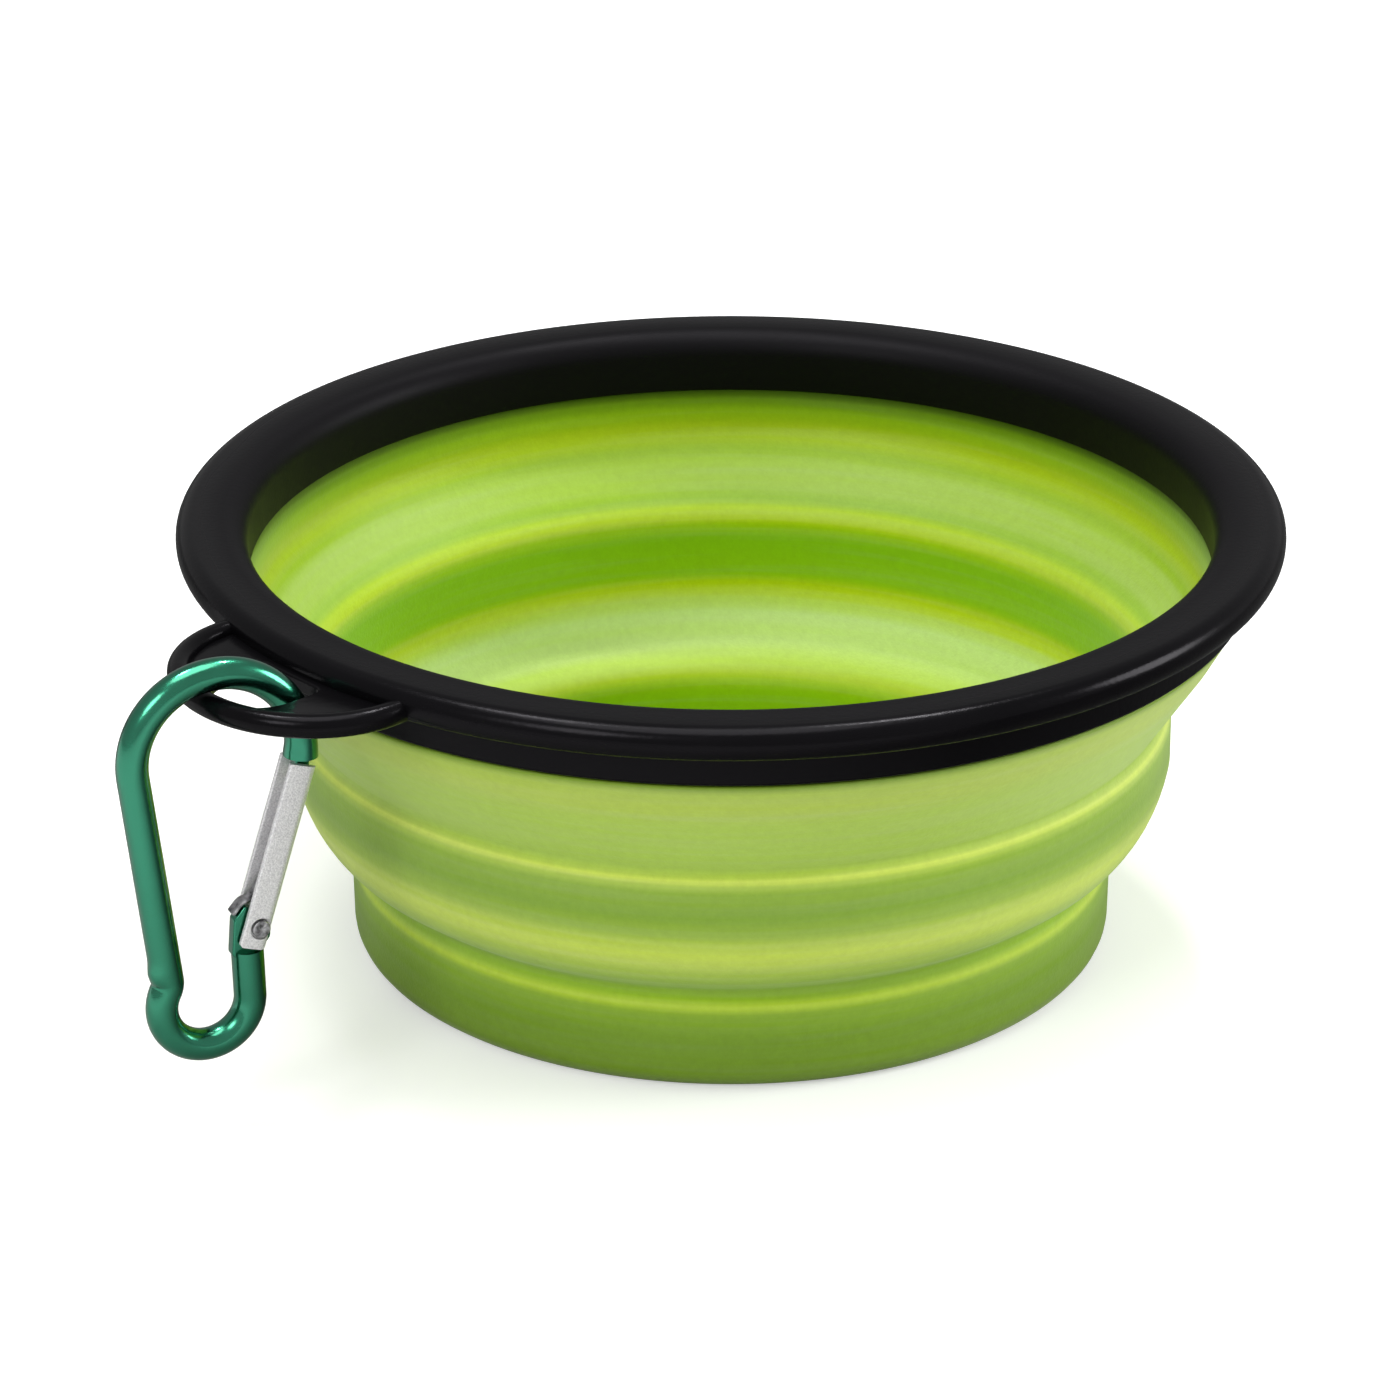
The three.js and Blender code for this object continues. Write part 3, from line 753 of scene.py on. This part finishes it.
def tab_lip():
    spots = [Vector((x, y, TAB_LIP_Z)) for x, y in tab_edge(COLLAR_RADIUS)]
    return tube("tab_lip", spots, UP, lambda station, angle: TAB_LIP_RADIUS, LIP_SIDES)


def build_rim():
    rim = lathe("rim", rim_outline())
    tab = tab_plate()
    combine(tab, tab_lip(), "UNION")
    place(tab, Matrix.Rotation(TAB_AZIMUTH, 4, "Z"))
    combine(rim, tab, "UNION")
    shade(rim, RIM_SMOOTH_ANGLE)
    dress(rim, black_plastic())
    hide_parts("rim_ring")
    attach(rim, "rim")


# Carabiner

def own_to_world():
    """From the carabiner's own plane to where it hangs on the tab's bar."""
    turn = Matrix.Rotation(HANG_AZIMUTH, 4, "Z") @ Matrix.Rotation(HANG_TILT, 4, "Y")
    from_bar = Matrix.Translation(Vector((-BAR_X, 0, -BAR_Z)) * MM)
    return Matrix.Translation(BAR_POINT * MM) @ turn @ from_bar


def rivet_to_own():
    return Matrix.Translation(Vector((RIVET_X, 0, RIVET_Z)) * MM)


def gate_to_own():
    """From the gate's own axes, upright on the rivet, to the carabiner's plane."""
    return rivet_to_own() @ Matrix.Rotation(GATE_LEAN, 4, "Y")


def hook_line():
    """The wire's centre line in its own plane: nose, top arc, spine, bend, loop and neck."""
    loop = Vector((0, -LOOP_DROP))

    def loop_at(angle):
        return loop + LOOP_RADIUS * Vector((math.cos(angle), math.sin(angle)))

    bend_end = loop_at(LOOP_START)
    bend = bend_end + BEND_REACH * Vector((math.sin(LOOP_START), -math.cos(LOOP_START)))
    spine_angle = math.atan2(bend.y, bend.x) + TURN - math.acos(ARC_RADIUS / bend.length)
    spine_top = ARC_RADIUS * Vector((math.cos(spine_angle), math.sin(spine_angle)))
    bend_start = bend + BEND_REACH * (spine_top - bend).normalized()
    loop_end = TURN + NECK_LEAN
    neck = Vector((-math.sin(loop_end), math.cos(loop_end)))
    line = [Vector((ARC_RADIUS, -NOSE_LENGTH)), Vector((ARC_RADIUS, -NOSE_LENGTH / 2))]
    line += [Vector(p) for p in arc((0, 0), ARC_RADIUS, 0, spine_angle, ARC_STEPS)]
    line += [spine_top.lerp(bend_start, i / SPINE_STEPS) for i in range(1, SPINE_STEPS + 1)]
    line += [Vector(p) for p in bezier(bend_start, bend, bend_end, BEND_STEPS)]
    line += [Vector(p) for p in arc(loop, LOOP_RADIUS, LOOP_START, loop_end, LOOP_STEPS)]
    line += [loop_at(loop_end) + neck * (NECK_LENGTH * i / NECK_STEPS) for i in range(1, NECK_STEPS + 1)]
    return [Vector((p.x, 0, p.y)) for p in line]


def wire_radius(station, angle):
    """The wire's radius: fuller at the nose, and swollen on one side at the kink."""
    nose = NOSE_SWELL * math.exp(-(station / NOSE_SPREAD) ** 2)
    facing = max(0.0, math.cos(angle - math.pi - KINK_FACING))
    kink = KINK_SWELL * math.exp(-((station - KINK_STATION) / KINK_SPREAD) ** 2) * facing ** 3
    return WIRE_RADIUS * (1 + nose + kink)


def lug():
    """The flattened end of the wire, between the gate's two sides."""
    bottom = RIVET_Z - LUG_DROP
    right = RIVET_X + LUG_EYE_RADIUS
    half = LUG_THICKNESS / 2
    plate = prism("lug", rounded([
        (LUG_LEFT, bottom, 0.6),
        (RIVET_X, bottom, 0.3),
        (right, RIVET_Z - LUG_EYE_RADIUS, 0.8),
        (right, RIVET_Z + LUG_EYE_RADIUS, 1.4),
        (RIVET_X, RIVET_Z + LUG_EYE_RADIUS, 0.3),
        (LUG_LEFT + LUG_PEAK_INSET, RIVET_Z + LUG_PEAK, 0.3),
        (LUG_LEFT, RIVET_Z + LUG_SHOULDER, 0.5),
    ]), -half, half, "y")
    soften(plate, LUG_BEVEL)
    return plate


def tongue():
    """The nose's flat end, which the gate closes on."""
    half = LUG_THICKNESS / 2
    left = ARC_RADIUS - TONGUE_WIDTH / 2
    right = ARC_RADIUS + TONGUE_WIDTH / 2
    plate = box("tongue", left, right, -half, half, -NOSE_LENGTH - TONGUE_LENGTH, 0)
    soften(plate, TONGUE_BEVEL)
    return plate


def rivet_hole(name, centre):
    outline = circle(centre, RIVET_HOLE_RADIUS, EYE_SIDES)
    return prism(name, outline, -RIVET_HOLE_REACH, RIVET_HOLE_REACH, "y")


def build_hook(to_world):
    hook = tube("hook_wire", hook_line(), Vector((0, 1, 0)), wire_radius, WIRE_SIDES)
    combine(hook, lug(), "UNION")
    combine(hook, tongue(), "UNION")
    combine(hook, rivet_hole("eye", (RIVET_X, RIVET_Z)), "DIFFERENCE")
    shade(hook, METAL_SMOOTH_ANGLE)
    place(hook, to_world)
    dress(hook, green_anodised())
    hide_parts("carabiner_hook")
    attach(hook, "hook")


def gate_channel():
    """A folded channel with rounded ends, open towards the spine."""
    half = GATE_DEPTH / 2
    inner = GATE_GAP / 2
    back = GATE_BACK - GATE_WALL
    channel = prism("gate_channel", rounded([
        (GATE_FRONT, -half, 0.2),
        (GATE_BACK, -half, GATE_EDGE_RADIUS),
        (GATE_BACK, half, GATE_EDGE_RADIUS),
        (GATE_FRONT, half, 0.2),
        (GATE_FRONT, inner, 0.15),
        (back, inner, 0.3),
        (back, -inner, 0.3),
        (GATE_FRONT, -inner, 0.15),
    ]), -GATE_TAIL, GATE_LENGTH)
    side_view = prism("gate_side", rounded([
        (GATE_FRONT, -GATE_TAIL, 0.5),
        (GATE_BACK, -GATE_TAIL, 0.7),
        (GATE_BACK, GATE_LENGTH, 0.2),
        (GATE_FRONT, GATE_LENGTH, 0.2),
    ]), -half - CUT_PAST, half + CUT_PAST, "y")
    combine(channel, side_view, "INTERSECT")
    return channel


def cut_gate(channel):
    """Slots for the tongue and the lug, the rivet's hole, and a sunk seat for each rivet head."""
    half = GATE_DEPTH / 2
    inner = GATE_GAP / 2
    slot_x = (GATE_BACK - GATE_WALL - GATE_SLOT_OVERLAP, GATE_BACK + CUT_PAST)
    tongue_z = GATE_LENGTH - TONGUE_LENGTH - TONGUE_WIDTH / 2
    top_slot = box("top_slot", *slot_x, -inner, inner, tongue_z, GATE_LENGTH + CUT_PAST)
    combine(channel, top_slot, "DIFFERENCE")
    lug_slot = box("lug_slot", *slot_x, -inner, inner, -GATE_TAIL - CUT_PAST, GATE_BACK_START)
    combine(channel, lug_slot, "DIFFERENCE")
    combine(channel, rivet_hole("gate_eye", (0, 0)), "DIFFERENCE")
    seat = circle((0, 0), RIVET_SINK_RADIUS, SINK_SIDES)
    for face in (-1, 1):
        depths = sorted((face * (half + RIVET_SINK_PAST), face * (half - RIVET_HEAD_HEIGHT)))
        combine(channel, prism("gate_sink", seat, *depths, "y"), "DIFFERENCE")


def build_gate(to_world):
    channel = gate_channel()
    cut_gate(channel)
    shade(channel, METAL_SMOOTH_ANGLE)
    place(channel, to_world @ gate_to_own())
    dress(channel, bare_aluminium())
    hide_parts("carabiner_gate")
    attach(channel, "gate")


def peen(rivet, top):
    """Press a star of shallow dents into both faces of the rivet."""
    for vertex in rivet.data.vertices:
        if abs(vertex.co.z) <= (top - 0.01) * MM:
            continue
        radius = math.hypot(vertex.co.x, vertex.co.y) / (RIVET_HEAD_RADIUS * MM)
        angle = math.atan2(vertex.co.y, vertex.co.x)
        star = math.sin(PEEN_POINTS * angle + PEEN_TWIST * radius)
        dent = PEEN_DEPTH * star * min(1.0, 2 * radius) * (1 - radius)
        vertex.co.z += math.copysign(dent * MM, vertex.co.z)


def build_rivet(to_world, look):
    """A rivet with sunk heads whose faces are peened."""
    top = GATE_DEPTH / 2 + RIVET_PROUD
    under = top - RIVET_HEAD_HEIGHT
    upper = [
        (RIVET_SHAFT_RADIUS, under),
        (RIVET_HEAD_RADIUS, under, 0.1),
        (RIVET_HEAD_RADIUS, top, 0.2),
        *[(share * RIVET_HEAD_RADIUS, top) for share in PEEN_RINGS],
        (0, top),
    ]
    lower = [(corner[0], -corner[1], *corner[2:]) for corner in upper[::-1]]
    rivet = lathe("peened_rivet", rounded(upper + lower), RIVET_SEGMENTS)
    peen(rivet, top)
    across = Matrix.Rotation(TURN / 4, 4, "X")
    place(rivet, to_world @ rivet_to_own() @ across)
    dress(rivet, look)
    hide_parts("gate_rivet")
    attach(rivet, "hook")


def spring_outline():
    """The leaf seen from the side: its line with rounded bends, thickened to both sides."""
    corners = [Vector(spot) for spot in SPRING_LINE]
    line = corners[:1]
    for a, b, c in zip(corners, corners[1:], corners[2:]):
        line += [Vector(p) for p in bezier(a.lerp(b, 0.5), b, b.lerp(c, 0.5), SPRING_STEPS)]
    line += corners[-1:]
    last = len(line) - 1
    left = []
    right = []
    for i, spot in enumerate(line):
        ahead = (line[min(i + 1, last)] - line[max(i - 1, 0)]).normalized()
        across = Vector((-ahead.y, ahead.x)) * (SPRING_THICKNESS / 2)
        left.append(spot + across)
        right.append(spot - across)
    return left + right[::-1]


def build_spring(to_world, look):
    """A leaf bent over the lug's peak and up inside the gate's back, placed in the gate's frame."""
    spring = prism("leaf_spring", spring_outline(), -SPRING_WIDTH / 2, SPRING_WIDTH / 2, "y")
    soften(spring, SPRING_BEVEL, 2)
    shade(spring, METAL_SMOOTH_ANGLE)
    matrix = to_world @ gate_to_own()
    place(spring, matrix)
    dress(spring, look)
    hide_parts("gate_spring")
    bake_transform(spring)


def build_carabiner():
    to_world = own_to_world()
    metal = steel()
    build_hook(to_world)
    build_gate(to_world)
    build_rivet(to_world, metal)
    build_spring(to_world, metal)


# Stage

# Reflections show the floor with painted shade, fading from pale in front on the left to dark beside the
# bowl, where its shadow falls, in m
REFLECTED_SHADE_DIRECTION = (0.6, 0.8, 0)
REFLECTED_SHADE_START = -0.14
REFLECTED_SHADE_END = -0.04
REFLECTED_SHADE_PALE = 0.7
REFLECTED_SHADE_DARK = 0.1
# The floor's own white, seen by the camera alone, grows from near the bowl outwards, in m
GLOW_START = 0.15
GLOW_END = 0.6
GLOW_NEAR = 0.45
GLOW_FAR = 1.0
FLOOR_REACH = 4
FLOOR_COLOUR = (0.75, 0.75, 0.75, 1)
# The world is brighter in front than at the back, and plain white to the camera
WORLD_DEPTH = 0.8
WORLD_FRONT = 0.56
WORLD_BACK = 0.34
# Name, place, aim, width in m, watts
LAMPS = (
    ("top_light", (-0.1, -0.1, 1.2), (0, 0, 0.03), 0.9, 7.9),
    ("key_light", (-0.6, -0.9, 0.8), (0, 0, 0.03), 0.5, 4.2),
    ("fill_light", (1.0, 0.05, 0.45), (0, 0, 0.03), 0.5, 6.0),
    ("right_sparkle", (0.2, 0.3, 0.9), (0, 0, 0.03), 0.07, 2.4),
    ("left_sparkle", (-0.3, 0.1, 0.9), (0, 0, 0.03), 0.14, 1.6),
)


def floor_material():
    material, nodes, links, shader = new_material("floor")
    shader.inputs["Roughness"].default_value = 0.9
    shader.inputs["Specular IOR Level"].default_value = 0.1
    shader.inputs["Emission Color"].default_value = WHITE
    path = nodes.new("ShaderNodeLightPath")
    position = add_position(nodes)
    # Glossy rays alone see this painted shade beside the bowl
    along = add_vector_math(nodes, links, "DOT_PRODUCT", position, REFLECTED_SHADE_DIRECTION).outputs["Value"]
    reflected_shade = add_range(nodes, links, along, REFLECTED_SHADE_START, REFLECTED_SHADE_END, REFLECTED_SHADE_PALE, REFLECTED_SHADE_DARK)
    colour = blend_colours(nodes, links, path.outputs["Is Glossy Ray"], FLOOR_COLOUR, reflected_shade)
    links.new(colour, shader.inputs["Base Color"])
    away = add_vector_math(nodes, links, "LENGTH", position).outputs["Value"]
    glow = add_range(nodes, links, away, GLOW_START, GLOW_END, GLOW_NEAR, GLOW_FAR)
    seen = add_math(nodes, links, "MULTIPLY", glow, path.outputs["Is Camera Ray"])
    links.new(seen, shader.inputs["Emission Strength"])
    return material


def build_floor():
    bm = bmesh.new()
    signs = ((-1, -1), (1, -1), (1, 1), (-1, 1))
    bm.faces.new([bm.verts.new((x * FLOOR_REACH, y * FLOOR_REACH, 0)) for x, y in signs])
    floor = finish_mesh("floor", bm)
    dress(floor, floor_material())
    return floor


def add_lamp(name, spot, target, size, power):
    data = bpy.data.lights.new(name, "AREA")
    data.shape = "DISK"
    data.size = size
    data.energy = power
    lamp = bpy.data.objects.new(name, data)
    lamp.location = spot
    lamp.rotation_euler = (Vector(target) - Vector(spot)).to_track_quat("-Z", "Y").to_euler()
    bpy.context.collection.objects.link(lamp)
    return lamp


def build_world():
    world = bpy.data.worlds.new("studio")
    world.use_nodes = True
    nodes = world.node_tree.nodes
    links = world.node_tree.links
    background = nodes["Background"]
    background.inputs["Color"].default_value = WHITE
    direction = nodes.new("ShaderNodeTexCoord")
    axes = nodes.new("ShaderNodeSeparateXYZ")
    links.new(direction.outputs["Generated"], axes.inputs["Vector"])
    depth = add_range(nodes, links, axes.outputs["Y"], -WORLD_DEPTH, WORLD_DEPTH, WORLD_FRONT, WORLD_BACK)
    path = nodes.new("ShaderNodeLightPath")
    seen = add_math(nodes, links, "MAXIMUM", depth, path.outputs["Is Camera Ray"])
    links.new(seen, background.inputs["Strength"])
    bpy.context.scene.world = world


def build_stage():
    floor = build_floor()
    lamps = [add_lamp(*lamp) for lamp in LAMPS]
    build_world()


# Camera, in m and in pixels of the photograph
CAMERA_DISTANCE = 0.7
CAMERA_ELEVATION = math.radians(24.16)
CAMERA_TARGET = Vector((0, 0, 0.0275))
FOCAL_PIXELS = 5876
PICTURE_PIXELS = 1400
TARGET_PIXEL = (731, 710)


def build_camera():
    data = bpy.data.cameras.new("camera")
    data.sensor_width = 36
    data.lens = FOCAL_PIXELS / PICTURE_PIXELS * data.sensor_width
    data.shift_x = (PICTURE_PIXELS / 2 - TARGET_PIXEL[0]) / PICTURE_PIXELS
    data.shift_y = (TARGET_PIXEL[1] - PICTURE_PIXELS / 2) / PICTURE_PIXELS
    camera = bpy.data.objects.new("camera", data)
    back = Vector((0, -math.cos(CAMERA_ELEVATION), math.sin(CAMERA_ELEVATION)))
    camera.location = CAMERA_TARGET + back * CAMERA_DISTANCE
    camera.rotation_euler = (math.pi / 2 - CAMERA_ELEVATION, 0, 0)
    bpy.context.collection.objects.link(camera)
    bpy.context.scene.camera = camera


bpy.context.scene.view_settings.view_transform = "Standard"
build_cup()
build_rim()
build_carabiner()
build_stage()
build_camera()
